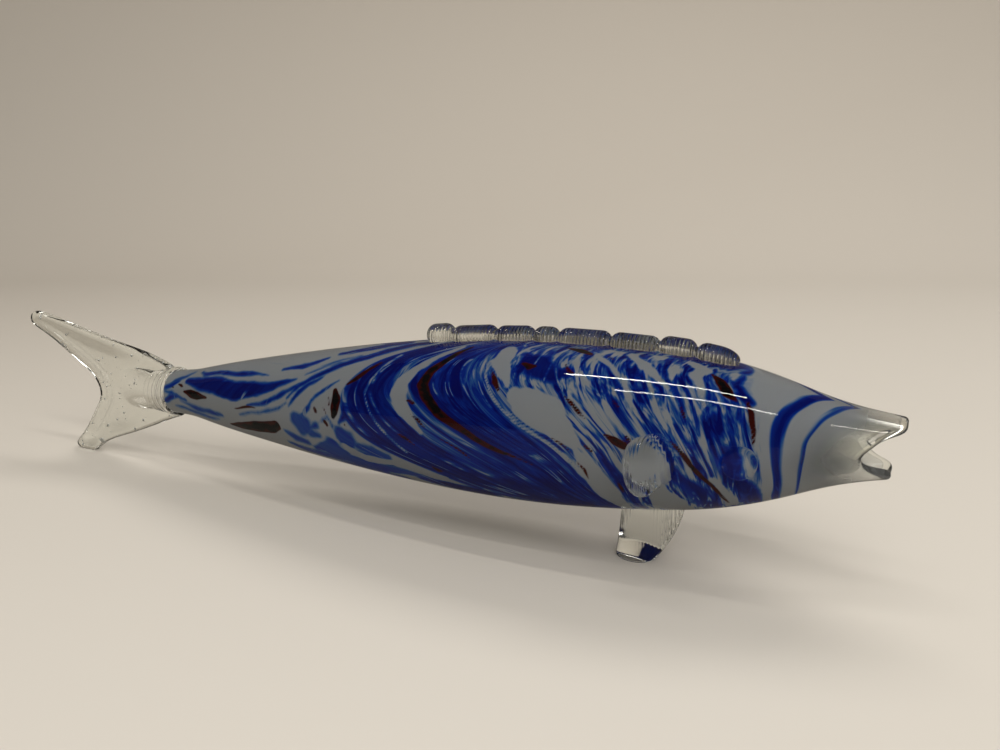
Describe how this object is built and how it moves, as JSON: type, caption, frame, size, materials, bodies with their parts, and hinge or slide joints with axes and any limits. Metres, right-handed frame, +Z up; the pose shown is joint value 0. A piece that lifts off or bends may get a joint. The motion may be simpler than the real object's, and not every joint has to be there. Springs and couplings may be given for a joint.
{
  "type": "fish figurine",
  "caption": "Hollow blown-glass fish ornament: marbled opal bubble under clear glass, open mouth, crimped back fin, side fins and forked tail. It stands on a belly foot and its tail.",
  "frame": {"origin": "middle of the overall box, on the surface that the fish stands on", "axes": "+X towards the head, +Y to the fish's left, +Z up"},
  "size_m": [0.5674, 0.1158, 0.1185],
  "materials": {
    "opal_marbled_glass": "gloss",
    "clear_glass": "gloss"
  },
  "bodies": {
    "root": {"opal_core": "opal_marbled_glass", "clear_casing": "clear_glass", "tail_collar": "clear_glass", "tail_fin": "clear_glass", "dorsal_fin": "clear_glass", "belly_foot": "clear_glass", "right_pectoral_fin": "clear_glass", "left_pectoral_fin": "clear_glass", "right_eye": "clear_glass", "left_eye": "clear_glass"}
  },
  "joints": []
}
